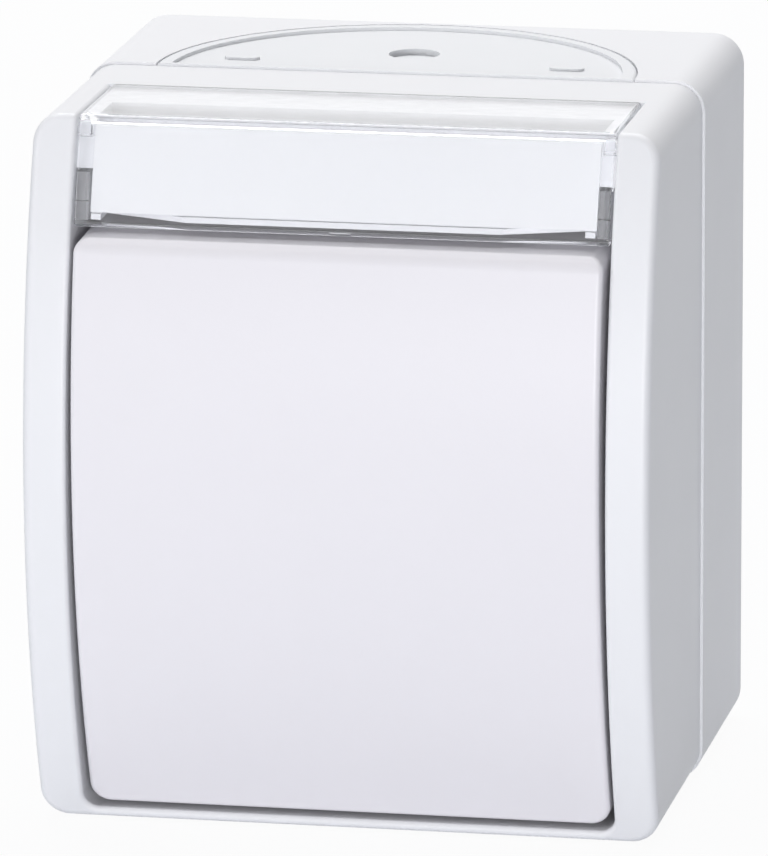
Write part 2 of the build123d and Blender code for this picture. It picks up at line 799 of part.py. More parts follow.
def make_common_contact():
    """Strip on the base's floor with the knife edge that carries the contact rocker."""
    front = base_inner + strip_thickness
    half = strip_width / 2
    knife_half = contact_width / 2 - contact_ear - contact_fit
    terminal_low = terminal_wall_z - terminal_length
    outer = -terminal_offset - half
    strip = level_block(outer, knife_half, base_inner, front, strip_width)
    riser = block(outer, half - terminal_offset, base_inner, front, centre_z, centre_z + terminal_low)
    apex = fulcrum_depth - knife_gap
    wedge = Polygon((front, -knife_base / 2), (apex, 0), (front, knife_base / 2), align=None)
    knife = side_slab(Pos(0, centre_z) * wedge, -knife_half, knife_half)
    return strip + riser + knife


def make_terminal(name):
    """Brass block with a wire bore from behind and a threaded hole from its end."""
    x, way = terminal_places[name]
    end = centre_z + way * terminal_wall_z
    inner = centre_z + way * (terminal_wall_z - terminal_length)
    half = terminal_width / 2
    front = base_inner + terminal_thickness
    body = block(x - half, x + half, base_inner, front, min(end, inner), max(end, inner))
    bore_z = centre_z + way * (base_height / 2 - wire_bore_inset)
    body -= peg(x, bore_z, wire_bore_radius, base_inner, front - strip_thickness)
    radius = terminal_screw_radius + thread_clearance
    return body - upright(x, terminal_screw_depth, radius, min(end, bore_z), max(end, bore_z))


def make_terminal_screws():
    """Three slotted clamp screws, each in its terminal and its hole in the base's wall."""
    screws = []
    for x, way in terminal_places.values():
        end = centre_z + way * terminal_wall_z
        outer = centre_z + way * base_height / 2
        inner = end - way * terminal_screw_bite
        screw = upright(x, terminal_screw_depth, terminal_head_radius, min(end, outer), max(end, outer))
        screw += upright(x, terminal_screw_depth, terminal_screw_radius, min(end, inner), max(end, inner))
        slot_floor = outer - way * screw_slot_depth
        slot = block(
            x - terminal_head_radius, x + terminal_head_radius,
            terminal_screw_depth - screw_slot / 2, terminal_screw_depth + screw_slot / 2,
            min(slot_floor, outer), max(slot_floor, outer),
        )
        screws.append(screw - slot)
    return Compound(children=screws)


parts = {
    "rear_box": make_rear_box(),
    "cable_entry_insert": make_cable_entry_insert(),
    "front_frame": make_front_frame(),
    "joint_seal": make_joint_seal(),
    "cover_screws": make_cover_screws(),
    "label_window": make_label_window(),
    "label_strip": make_label_strip(),
    "rocker": make_rocker(),
    "rocker_cradle": make_rocker_cradle(),
    "plunger": make_plunger(),
    "plunger_spring": make_plunger_spring(),
    "mounting_bridge": make_mounting_bridge(),
    "bridge_screws": make_bridge_screws(),
    "switch_base": make_switch_base(),
    "switch_cover": make_switch_cover(),
    "mechanism_rivets": make_mechanism_rivets(),
    "mechanism_seal": make_mechanism_seal(),
    "contact_rocker": make_contact_rocker(),
    "moving_tips": make_moving_tips(),
    "common_contact": make_common_contact(),
    "fixed_contact_upper": make_fixed_contact(1),
    "fixed_contact_lower": make_fixed_contact(-1),
    "fixed_tips": make_fixed_tips(),
    "terminal_common": make_terminal("common"),
    "terminal_upper": make_terminal("upper"),
    "terminal_lower": make_terminal("lower"),
    "terminal_screws": make_terminal_screws(),
}

os.makedirs("parts", exist_ok=True)
for node, shape in parts.items():
    export_step(shape, f"parts/{node}.step")
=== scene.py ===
"""Looks of a surface-mount rocker wall switch with a clear label window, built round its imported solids."""
import math

import bmesh
import bpy
import numpy as np
from bpy.props import FloatProperty, FloatVectorProperty, PointerProperty
from bpy.types import NodeSocket, Operator, Panel, PropertyGroup
from mathutils import Matrix, Vector


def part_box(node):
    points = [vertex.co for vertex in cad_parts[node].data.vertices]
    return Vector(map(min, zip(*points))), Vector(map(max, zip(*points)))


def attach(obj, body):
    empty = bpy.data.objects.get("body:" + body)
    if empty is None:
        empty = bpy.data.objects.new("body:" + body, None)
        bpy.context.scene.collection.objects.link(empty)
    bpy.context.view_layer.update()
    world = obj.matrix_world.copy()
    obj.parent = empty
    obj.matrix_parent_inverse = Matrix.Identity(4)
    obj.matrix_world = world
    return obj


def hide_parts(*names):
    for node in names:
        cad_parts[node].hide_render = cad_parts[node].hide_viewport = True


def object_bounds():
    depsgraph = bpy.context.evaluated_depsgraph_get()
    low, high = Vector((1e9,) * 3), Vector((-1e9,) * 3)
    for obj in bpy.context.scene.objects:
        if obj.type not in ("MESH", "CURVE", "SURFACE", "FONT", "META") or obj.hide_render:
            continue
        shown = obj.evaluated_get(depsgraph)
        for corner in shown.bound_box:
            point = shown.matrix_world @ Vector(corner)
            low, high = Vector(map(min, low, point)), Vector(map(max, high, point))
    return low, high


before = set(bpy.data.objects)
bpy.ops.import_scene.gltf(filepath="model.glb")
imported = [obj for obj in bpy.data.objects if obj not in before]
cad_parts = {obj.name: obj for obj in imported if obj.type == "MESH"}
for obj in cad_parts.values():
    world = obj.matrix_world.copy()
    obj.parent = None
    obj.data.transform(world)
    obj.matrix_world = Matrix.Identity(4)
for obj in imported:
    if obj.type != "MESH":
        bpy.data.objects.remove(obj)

bl_info = {
    "name": "Rocker wall switch",
    "version": (1, 0, 0),
    "blender": (4, 5, 0),
    "location": "3D View > Sidebar > Switch",
    "description": "Finishes, threaded screws and studio for a surface-mount rocker wall switch",
    "category": "Object",
}

cad_low, cad_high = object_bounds()

# Scales of the patterns, in waves per metre
polish_scale = 140.0
streak_scale = 2600.0
blotch_scale = 320.0
flow_scale = 40.0
floor_scale = 3.0

# Swing of the roughness to either side, on moulded plastic and on metal
polish_spread = 0.05
streak_spread = 0.06

# Depth of the streaks on metal, in metres
streak_depth = 0.000004

# Stretch of the streaks by axis: drawn sheet has them along Z, and turned screws along X
drawn_stretch = (1.0, 1.0, 0.06)
turned_stretch = (0.1, 1.0, 1.0)

# Bounces after which a ray that is caught in the clear hood goes straight on
trapped_bounces = 4.5

# Columns of a screw's grid in each mouth of its slot and from mouth to mouth
mouth_columns = 5
side_columns = 27

# Rows of a screw's grid on the head's rounding and in one pitch of the thread
round_rows = 6
pitch_rows = 10

# Points nearer than this, in metres, are one, and edges that turn by more than this are shaded sharp
merge_distance = 1e-7
sharp_angle = math.radians(40)

# Points along each side of the floor
floor_columns = 9

# Place, width and height of each lamp, in metres
lamp_places = {
    "front": ((0.26, -1.25, 0.07), 0.7, 0.2),
    "back": ((-0.05, 0.4, 0.8), 0.9, 0.9),
    "left": ((-0.77, -0.78, 0.43), 0.95, 0.9),
}


def colour_property(name, description, default):
    """A colour with its name, description and default."""
    return FloatVectorProperty(
        name=name, description=description, default=default, subtype="COLOR", size=3, min=0.0, max=1.0
    )


def length_property(name, description, default):
    """A length in metres with its name, description and default."""
    return FloatProperty(name=name, description=description, default=default, unit="LENGTH", precision=5)


def angle_property(name, description, degrees):
    """An angle with its name, description and default in degrees."""
    return FloatProperty(name=name, description=description, default=math.radians(degrees), subtype="ANGLE")


def power_property(name, description, default):
    """A lamp's power in watts with its name, description and default."""
    return FloatProperty(name=name, description=description, default=default, min=0.0, unit="POWER")


def share_property(name, description, default):
    """A number from 0 to 1 with its name, description and default."""
    return FloatProperty(
        name=name, description=description, default=default, min=0.0, max=1.0, subtype="FACTOR"
    )


class ShellFinish(PropertyGroup):
    """Colours and grain of the white moulded pieces."""

    housing_colour: colour_property("Housing", "Colour of the box and the front frame", (0.825, 0.828, 0.85))
    rocker_colour: colour_property("Rocker", "Colour of the large key", (0.815, 0.798, 0.832))
    entry_colour: colour_property("Cable entry", "Colour of the soft half-disc", (0.80, 0.81, 0.83))
    housing_roughness: share_property("Housing roughness", "Roughness of the housing", 0.42)
    rocker_roughness: share_property("Rocker roughness", "Roughness of the rocker", 0.36)
    entry_roughness: share_property("Entry roughness", "Roughness of the soft half-disc", 0.55)
    grain_size: length_property("Grain size", "Size of the moulded grain", 0.00035)
    grain_depth: length_property("Grain depth", "Depth of the moulded grain", 0.000006)


class WindowFinish(PropertyGroup):
    """Clear hood and the card behind it."""

    clear_colour: colour_property("Clear plastic", "Tint of the clear hood", (0.985, 0.988, 0.995))
    clear_roughness: share_property("Polish", "Roughness of the clear hood", 0.03)
    clear_spread: share_property("Polish swing", "Swing of the clear hood's roughness", 0.01)
    clear_index: FloatProperty(
        name="Refraction", description="Index of refraction", default=1.49, min=1.0, max=2.0
    )
    wave_size: length_property("Wave size", "Size of the faint waves in the clear hood", 0.004)
    wave_depth: length_property("Wave depth", "Depth of the faint waves in the clear hood", 0.00001)
    card_colour: colour_property("Card", "Colour of the label card", (0.92, 0.92, 0.93))


class InsertFinish(PropertyGroup):
    """Colours of the switch insert and its metal."""

    insert_colour: colour_property("Insert", "Colour of the insert's moulded pieces", (0.33, 0.35, 0.37))
    seal_colour: colour_property("Seals", "Colour of the sealing rings", (0.09, 0.095, 0.10))
    steel_colour: colour_property("Steel", "Colour of plated steel", (0.62, 0.63, 0.64))
    wire_colour: colour_property("Spring wire", "Colour of the spring's wire", (0.52, 0.53, 0.55))
    brass_colour: colour_property("Brass", "Colour of contacts and terminals", (0.72, 0.53, 0.24))
    silver_colour: colour_property("Silver", "Colour of the contact tips", (0.80, 0.80, 0.77))


class ScrewSizes(PropertyGroup):
    """Sizes of the slotted screws that their boxes in the frame don't give."""

    head_height: length_property("Head height", "Height of every head", 0.002)
    pan_round: length_property("Pan rounding", "Rounding of the cover and bridge screws' heads", 0.00065)
    clamp_round: length_property("Clamp rounding", "Rounding of the terminal screws' heads", 0.0002)
    slot_width: length_property("Slot width", "Width of the driver's slot", 0.0008)
    slot_depth: length_property("Slot depth", "Depth of the driver's slot", 0.0009)
    crest_radius: length_property("Crest radius", "Radius of the shank over the thread's crests", 0.0015)
    thread_depth: length_property("Thread depth", "Height of the crests above the core", 0.0003)
    pitch: length_property("Pitch", "Way from crest to crest", 0.001)
    cover_bite: length_property("Cover bite", "Threaded length of the two long cover screws", 0.012)
    clamp_bite: length_property("Clamp bite", "Length of the terminal screws below their heads", 0.0042)


class StudioSettings(PropertyGroup):
    """Camera, floor and lamps."""

    azimuth: angle_property("Azimuth", "Camera's turn to the right", 10.976)
    elevation: angle_property("Elevation", "Camera's height above level", 13.494)
    roll: angle_property("Roll", "Camera's turn about its own line", -0.196)
    distance: length_property("Distance", "Camera's distance from its target", 1.1)
    lens: FloatProperty(name="Lens", description="Focal length in millimetres", default=409.2, min=1.0)
    target: FloatVectorProperty(
        name="Target",
        description="Point that the camera looks at",
        default=(-0.001294, -0.028, -0.000862),
        subtype="XYZ",
        unit="LENGTH",
    )
    floor_size: length_property("Floor", "Width of the floor", 6.0)
    floor_colour: colour_property("Floor colour", "Colour of the floor's paint", (0.66, 0.69, 0.75))
    floor_roughness: share_property("Floor roughness", "Roughness of the floor's paint", 0.9)
    floor_white: share_property("Floor white", "Share of white where the floor is seen or mirrored", 0.95)
    ambient_colour: colour_property("Ambient", "Colour of the light from all round", (0.95, 0.97, 1.0))
    ambient: FloatProperty(
        name="Ambient strength", description="Strength of the light from all round", default=0.06, min=0.0
    )
    lamp_colour: colour_property("Lamps", "Colour of the lamps", (0.99, 0.99, 1.0))
    front: power_property("Front lamp", "Power of the wide low lamp at the camera's right", 8.4)
    back: power_property("Back lamp", "Power of the lamp above and behind the switch", 8.6)
    left: power_property("Left lamp", "Power of the lamp at the left in front", 4.5)


def feed(tree, value, target):
    """Join a socket to an input, or write a plain value into it."""
    if isinstance(value, NodeSocket):
        tree.links.new(value, target)
    else:
        target.default_value = value


def add(tree, kind, inputs=None, **attributes):
    """Add a node, set its attributes and then feed its inputs, by name or by number."""
    node = tree.nodes.new(kind)
    for name, value in attributes.items():
        setattr(node, name, value)
    for key, value in (inputs or {}).items():
        feed(tree, value, node.inputs[key])
    return node


def math_node(tree, operation, first, second):
    """Result of a Math node on two sockets or numbers."""
    return add(tree, "ShaderNodeMath", {0: first, 1: second}, operation=operation).outputs[0]


def centred(tree, value):
    """A value from 0 to 1 spread to run from -1 to 1."""
    return math_node(tree, "SUBTRACT", math_node(tree, "MULTIPLY", value, 2.0), 1.0)


def noise(tree, vector, scale, detail):
    """A noise from 0 to 1 at a scale, which is a socket or a number."""
    inputs = {"Vector": vector, "Scale": scale, "Detail": detail}
    return add(tree, "ShaderNodeTexNoise", inputs).outputs["Fac"]


def mixed_colour(tree, factor, first, second):
    """A colour between two others: the first at a factor of 0, the second at 1."""
    inputs = {"Factor": factor, "A": first, "B": second}
    return add(tree, "ShaderNodeMix", inputs, data_type="RGBA").outputs["Result"]


def mix_shaders(tree, factor, first, second):
    """Lead a mix of two shaders to the surface: the first at a factor of 0, the second at 1."""
    mix = add(tree, "ShaderNodeMixShader", {"Fac": factor, 1: first, 2: second})
    feed(tree, mix.outputs["Shader"], tree.get_output_node("ALL").inputs["Surface"])


def seen_rays(tree):
    """1 for rays that show a surface, directly, mirrored or through plastic, and 0 for rays that light."""
    path = add(tree, "ShaderNodeLightPath").outputs
    direct = math_node(tree, "MAXIMUM", path["Is Camera Ray"], path["Is Glossy Ray"])
    return math_node(tree, "MAXIMUM", direct, path["Is Transmission Ray"])


def new_group(name, inputs, outputs):
    """Start a shader node group with its sockets, each a name and a kind, and a default for an input."""
    tree = bpy.data.node_groups.new(name, "ShaderNodeTree")
    for label, kind, default in inputs:
        socket = tree.interface.new_socket(label, in_out="INPUT", socket_type=kind)
        socket.default_value = default
    for label, kind in outputs:
        tree.interface.new_socket(label, in_out="OUTPUT", socket_type=kind)
    return tree, add(tree, "NodeGroupInput").outputs


def moulded_grain_group():
    """Fine spark-eroded grain and soft patches of polish, as on moulded plastic."""
    name = "Moulded grain"
    if name in bpy.data.node_groups:
        return bpy.data.node_groups[name]
    tree, given = new_group(
        name,
        [
            ("Vector", "NodeSocketVector", (0, 0, 0)),
            ("Grain Size", "NodeSocketFloat", 0.0003),
            ("Roughness", "NodeSocketFloat", 0.4),
            ("Spread", "NodeSocketFloat", polish_spread),
        ],
        [("Height", "NodeSocketFloat"), ("Roughness", "NodeSocketFloat")],
    )
    grain_scale = math_node(tree, "DIVIDE", 1.0, given["Grain Size"])
    fine = noise(tree, given["Vector"], grain_scale, detail=2.0)
    patches = noise(tree, given["Vector"], polish_scale, detail=3.0)
    swing = math_node(tree, "MULTIPLY", centred(tree, patches), given["Spread"])
    roughness = math_node(tree, "ADD", given["Roughness"], swing)
    add(tree, "NodeGroupOutput", {"Height": fine, "Roughness": roughness})
    return tree


def flow_tint_group():
    """Very soft clouds between two near colours, as where the melt has flowed."""
    name = "Flow tint"
    if name in bpy.data.node_groups:
        return bpy.data.node_groups[name]
    tree, given = new_group(
        name,
        [
            ("Vector", "NodeSocketVector", (0, 0, 0)),
            ("Color", "NodeSocketColor", (0.8, 0.8, 0.8, 1)),
            ("Tint", "NodeSocketColor", (0.78, 0.78, 0.8, 1)),
            ("Scale", "NodeSocketFloat", flow_scale),
        ],
        [("Color", "NodeSocketColor")],
    )
    clouds = noise(tree, given["Vector"], given["Scale"], detail=2.0)
    add(tree, "NodeGroupOutput", {"Color": mixed_colour(tree, clouds, given["Color"], given["Tint"])})
    return tree


def worked_metal_group():
    """Drawn streaks and small blotches of plating, as on stamped sheet and turned bars."""
    name = "Worked metal"
    if name in bpy.data.node_groups:
        return bpy.data.node_groups[name]
    tree, given = new_group(
        name,
        [
            ("Vector", "NodeSocketVector", (0, 0, 0)),
            ("Color", "NodeSocketColor", (0.6, 0.6, 0.6, 1)),
            ("Stain", "NodeSocketColor", (0.5, 0.5, 0.5, 1)),
            ("Stretch", "NodeSocketVector", drawn_stretch),
            ("Roughness", "NodeSocketFloat", 0.3),
        ],
        [("Color", "NodeSocketColor"), ("Roughness", "NodeSocketFloat"), ("Height", "NodeSocketFloat")],
    )
    factors = {0: given["Vector"], 1: given["Stretch"]}
    drawn = add(tree, "ShaderNodeVectorMath", factors, operation="MULTIPLY").outputs["Vector"]
    streaks = noise(tree, drawn, streak_scale, detail=3.0)
    blotches = noise(tree, given["Vector"], blotch_scale, detail=4.0)
    swing = math_node(tree, "MULTIPLY", centred(tree, streaks), streak_spread)
    results = {
        "Color": mixed_colour(tree, blotches, given["Color"], given["Stain"]),
        "Roughness": math_node(tree, "ADD", given["Roughness"], swing),
        "Height": streaks,
    }
    add(tree, "NodeGroupOutput", results)
    return tree


def opaque(colour):
    """A colour with full alpha."""
    return (*colour, 1.0)


def shaded(colour, share):
    """A share of a colour's light."""
    return tuple(part * share for part in colour)


def start_material(name):
    """An empty material with its tree, its shader at the surface and the object's coordinates."""
    material = bpy.data.materials.new(name)
    material.use_nodes = True
    tree = material.node_tree
    tree.nodes.clear()
    place = add(tree, "ShaderNodeTexCoord").outputs["Object"]
    shader = add(tree, "ShaderNodeBsdfPrincipled")
    add(tree, "ShaderNodeOutputMaterial", {"Surface": shader.outputs["BSDF"]})
    return material, tree, shader, place


def add_bump(tree, shader, height, depth):
    """Lead a height through a Bump node to the shader's normal."""
    bump = add(tree, "ShaderNodeBump", {"Height": height, "Distance": depth})
    feed(tree, bump.outputs["Normal"], shader.inputs["Normal"])


def add_clouds(tree, shader, place, colour, tint, scale=flow_scale):
    """Lead clouds between a colour and a share of its light to the shader's colour."""
    inputs = {"Vector": place, "Color": opaque(colour), "Tint": opaque(shaded(colour, tint)), "Scale": scale}
    clouds = add(tree, "ShaderNodeGroup", inputs, node_tree=flow_tint_group())
    feed(tree, clouds.outputs["Color"], shader.inputs["Base Color"])


def add_grain(tree, shader, place, roughness, spread, size, depth):
    """Lead patches of polish to the shader's roughness and a fine grain to its normal."""
    inputs = {"Vector": place, "Grain Size": size, "Roughness": roughness, "Spread": spread}
    grain = add(tree, "ShaderNodeGroup", inputs, node_tree=moulded_grain_group())
    feed(tree, grain.outputs["Roughness"], shader.inputs["Roughness"])
    add_bump(tree, shader, grain.outputs["Height"], depth)


def moulded_plastic(name, colour, roughness, grain_size, grain_depth, tint=0.985):
    """Moulded plastic: soft clouds of colour, patches of polish and a fine grain."""
    material, tree, shader, place = start_material(name)
    add_clouds(tree, shader, place, colour, tint)
    add_grain(tree, shader, place, roughness, polish_spread, grain_size, grain_depth)
    return material


def worked_metal(name, colour, stain, roughness, stretch=drawn_stretch):
    """Bare or plated metal with drawn streaks, and blotches at a share of its colour."""
    material, tree, shader, place = start_material(name)
    inputs = {
        "Vector": place,
        "Color": opaque(colour),
        "Stain": opaque(shaded(colour, stain)),
        "Stretch": stretch,
        "Roughness": roughness,
    }
    worked = add(tree, "ShaderNodeGroup", inputs, node_tree=worked_metal_group())
    feed(tree, 1.0, shader.inputs["Metallic"])
    feed(tree, worked.outputs["Color"], shader.inputs["Base Color"])
    feed(tree, worked.outputs["Roughness"], shader.inputs["Roughness"])
    add_bump(tree, shader, worked.outputs["Height"], streak_depth)
    return material


def clear_plastic(name, look):
    """Clear polished plastic that bends what is seen through it and lets light straight through."""
    material, tree, shader, place = start_material(name)
    feed(tree, 1.0, shader.inputs["Transmission Weight"])
    feed(tree, look.clear_index, shader.inputs["IOR"])
    add_clouds(tree, shader, place, look.clear_colour, tint=0.99)
    add_grain(tree, shader, place, look.clear_roughness, look.clear_spread, look.wave_size, look.wave_depth)
    straight = add(tree, "ShaderNodeBsdfTransparent", {"Color": opaque(look.clear_colour)})
    path = add(tree, "ShaderNodeLightPath").outputs
    lighting = math_node(tree, "MAXIMUM", path["Is Shadow Ray"], path["Is Diffuse Ray"])
    trapped = math_node(tree, "GREATER_THAN", path["Ray Depth"], trapped_bounces)
    passing = math_node(tree, "MAXIMUM", lighting, trapped)
    mix_shaders(tree, passing, shader.outputs["BSDF"], straight.outputs["BSDF"])
    return material


def pale_floor(name, look):
    """Pale floor: plain paint for light and shadow, mixed with white where it is seen or mirrored."""
    material, tree, shader, place = start_material(name)
    add_clouds(tree, shader, place, look.floor_colour, tint=0.985, scale=floor_scale)
    feed(tree, look.floor_roughness, shader.inputs["Roughness"])
    white = add(tree, "ShaderNodeEmission", {"Color": (1, 1, 1, 1), "Strength": 1.0})
    share = math_node(tree, "MULTIPLY", seen_rays(tree), look.floor_white)
    mix_shaders(tree, share, shader.outputs["BSDF"], white.outputs["Emission"])
    return material


def pale_world(name, look):
    """Faint light from all round, and white where the world is seen or mirrored."""
    world = bpy.data.worlds.new(name)
    world.use_nodes = True
    tree = world.node_tree
    tree.nodes.clear()
    add(tree, "ShaderNodeOutputWorld")
    soft = add(tree, "ShaderNodeBackground", {"Color": opaque(look.ambient_colour), "Strength": look.ambient})
    white = add(tree, "ShaderNodeBackground", {"Color": (1, 1, 1, 1), "Strength": 1.0})
    mix_shaders(tree, seen_rays(tree), soft.outputs["Background"], white.outputs["Background"])
    return world


def dress(names, material):
    """Give CAD nodes a material in place of their plain one."""
    for name in names:
        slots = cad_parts[name].data.materials
        slots.clear()
        slots.append(material)


class SWITCH_OT_housing(Operator):
    """Finish the two halves of the housing and the soft cable entry"""

    bl_idname = "wall_switch.finish_housing"
    bl_label = "Finish the housing"

    def execute(self, context):
        look = context.scene.switch_shell
        white = moulded_plastic(
            "Housing white", look.housing_colour, look.housing_roughness, look.grain_size, look.grain_depth
        )
        soft = moulded_plastic(
            "Entry soft white",
            look.entry_colour,
            look.entry_roughness,
            look.grain_size,
            look.grain_depth,
            tint=0.97,
        )
        dress(["rear_box", "front_frame"], white)
        dress(["cable_entry_insert"], soft)
        return {"FINISHED"}


class SWITCH_OT_rocker(Operator):
    """Finish the large rocker"""

    bl_idname = "wall_switch.finish_rocker"
    bl_label = "Finish the rocker"

    def execute(self, context):
        look = context.scene.switch_shell
        white = moulded_plastic(
            "Rocker white", look.rocker_colour, look.rocker_roughness, look.grain_size, look.grain_depth
        )
        dress(["rocker"], white)
        return {"FINISHED"}


class SWITCH_OT_window(Operator):
    """Finish the clear hood and the label card"""

    bl_idname = "wall_switch.finish_window"
    bl_label = "Finish the label window"

    def execute(self, context):
        look = context.scene.switch_window
        clear = clear_plastic("Window clear", look)
        card = moulded_plastic(
            "Label card",
            look.card_colour,
            roughness=0.75,
            grain_size=0.00018,
            grain_depth=0.00001,
            tint=0.98,
        )
        dress(["label_window"], clear)
        dress(["label_strip"], card)
        return {"FINISHED"}


class SWITCH_OT_insert(Operator):
    """Finish the moulded pieces and the seals of the switch insert"""

    bl_idname = "wall_switch.finish_insert"
    bl_label = "Finish the switch insert"

    def execute(self, context):
        look = context.scene.switch_insert
        grey = moulded_plastic(
            "Insert grey",
            look.insert_colour,
            roughness=0.5,
            grain_size=0.0004,
            grain_depth=0.000012,
            tint=0.9,
        )
        seal = moulded_plastic(
            "Seal rubber",
            look.seal_colour,
            roughness=0.7,
            grain_size=0.00025,
            grain_depth=0.00001,
            tint=0.85,
        )
        dress(["switch_base", "switch_cover", "rocker_cradle", "plunger"], grey)
        dress(["joint_seal", "mechanism_seal"], seal)
        return {"FINISHED"}


class SWITCH_OT_metal(Operator):
    """Finish the bridge, contacts, terminals, rivets and spring"""

    bl_idname = "wall_switch.finish_metal"
    bl_label = "Finish the metal pieces"

    def execute(self, context):
        look = context.scene.switch_insert
        steel = worked_metal("Plated steel", look.steel_colour, stain=0.86, roughness=0.32)
        wire = worked_metal("Spring wire", look.wire_colour, stain=0.9, roughness=0.24)
        brass = worked_metal("Stamped brass", look.brass_colour, stain=0.88, roughness=0.28)
        silver = worked_metal("Contact silver", look.silver_colour, stain=0.92, roughness=0.35)
        dress(["mounting_bridge", "mechanism_rivets"], steel)
        dress(["plunger_spring"], wire)
        dress(["contact_rocker", "common_contact", "fixed_contact_upper", "fixed_contact_lower"], brass)
        dress(["terminal_common", "terminal_upper", "terminal_lower"], brass)
        dress(["moving_tips", "fixed_tips"], silver)
        return {"FINISHED"}


def show(mesh):
    """Put a mesh into the scene as an object at the origin."""
    piece = bpy.data.objects.new(mesh.name, mesh)
    bpy.context.scene.collection.objects.link(piece)
    return piece


def ring_mesh(name, surfaces):
    """Closed mesh of surfaces with shape (count, rows, columns, 3), whose columns run round and meet."""
    count, rows, columns = surfaces.shape[:3]
    index = np.arange(count * rows * columns).reshape(count, rows, columns)
    after = np.roll(index, -1, axis=2)
    corners = [index[:, :-1], index[:, 1:], after[:, 1:], after[:, :-1]]
    quads = np.stack(corners, axis=-1).reshape(-1, 4)
    mesh = bpy.data.meshes.new(name)
    mesh.from_pydata(surfaces.reshape(-1, 3).tolist(), [], quads.tolist())
    work = bmesh.new()
    work.from_mesh(mesh)
    bmesh.ops.remove_doubles(work, verts=work.verts, dist=merge_distance)
    bmesh.ops.dissolve_degenerate(work, edges=work.edges, dist=merge_distance)
    bmesh.ops.recalc_face_normals(work, faces=work.faces)
    work.to_mesh(mesh)
    work.free()
    mesh.polygons.foreach_set("use_smooth", np.ones(len(mesh.polygons), bool))
    mesh.set_sharp_from_angle(angle=sharp_angle)
    return mesh


def slotted_screw(look, head_radius, head_round, length, bite):
    """Grid of a slotted screw along its axis, from the middle of the slot's floor over the head to its end.

    Height 0 is the head's top. Columns run round the axis, doubled at the two mouths of the slot, where its
    walls end. The slot's floor reaches out to half its width over the sine of the turn, and to the head's
    edge in the mouths. From the top of the wall the head goes on to its edge, a quarter circle. Over the
    bite, the shank's radius dips below its crests by the thread's depth times a raised cosine of height over
    pitch less the turn, and it tapers to the core at the end.
    """
    mouth = math.asin(look.slot_width / 2 / head_radius)
    half_turn = np.concatenate([
        np.linspace(-mouth, mouth, mouth_columns),
        np.linspace(mouth, math.pi - mouth, side_columns),
    ])
    turn = np.concatenate([half_turn, half_turn + math.pi])
    in_mouth = np.tile(np.arange(half_turn.size) < mouth_columns, 2)

    slot_floor = -look.slot_depth
    sine = np.where(in_mouth, math.sin(mouth), np.abs(np.sin(turn)))
    reach = look.slot_width / 2 / sine
    flat = head_radius - head_round
    start = np.arcsin(np.clip((reach - flat) / head_round, 0, 1))
    bend = start + (math.pi / 2 - start) * np.linspace(0, 1, round_rows)[:, None]
    edge_radius = np.where(in_mouth, head_radius, flat + head_round * np.sin(bend))
    edge_height = np.where(in_mouth, slot_floor, head_round * (np.cos(bend) - 1))

    thread_rows = round(bite / look.pitch * pitch_rows) + 1
    thread_height = np.linspace(bite - length, -length, thread_rows)[:, None]
    run_in = np.clip((bite - length - thread_height) / look.pitch, 0, 1)
    dip = 0.5 - 0.5 * np.cos(2 * math.pi * thread_height / look.pitch - turn)
    taper = look.thread_depth * np.clip(1 - (thread_height + length) / look.pitch, 0, 1)
    thread_radius = look.crest_radius - np.maximum(look.thread_depth * dip * run_in, taper)

    profile = [
        (0.0, slot_floor),
        (reach, slot_floor),
        (reach, edge_height[0]),
        (edge_radius, edge_height),
        (head_radius, slot_floor),
        (head_radius, -look.head_height),
        (look.crest_radius, -look.head_height),
        (thread_radius, thread_height),
        (0.0, -length),
    ]
    level = np.zeros_like(turn)
    radius = np.vstack([out + level for out, up in profile])
    height = np.vstack([np.broadcast_to(up + level, (out + level).shape) for out, up in profile])
    return np.stack([radius * np.cos(turn), radius * np.sin(turn), height], axis=-1)


def placed(surface, tops, outs):
    """Copies of a screw's grid: each head's top plus x along X, y across it and height along a direction."""
    tops = np.array(tops)[:, None, None]
    outs = np.array(outs, float)[:, None, None]
    along = np.array([1.0, 0.0, 0.0])
    across = np.cross(outs, along)
    return tops + surface[..., :1] * along + surface[..., 1:2] * across + surface[..., 2:] * outs


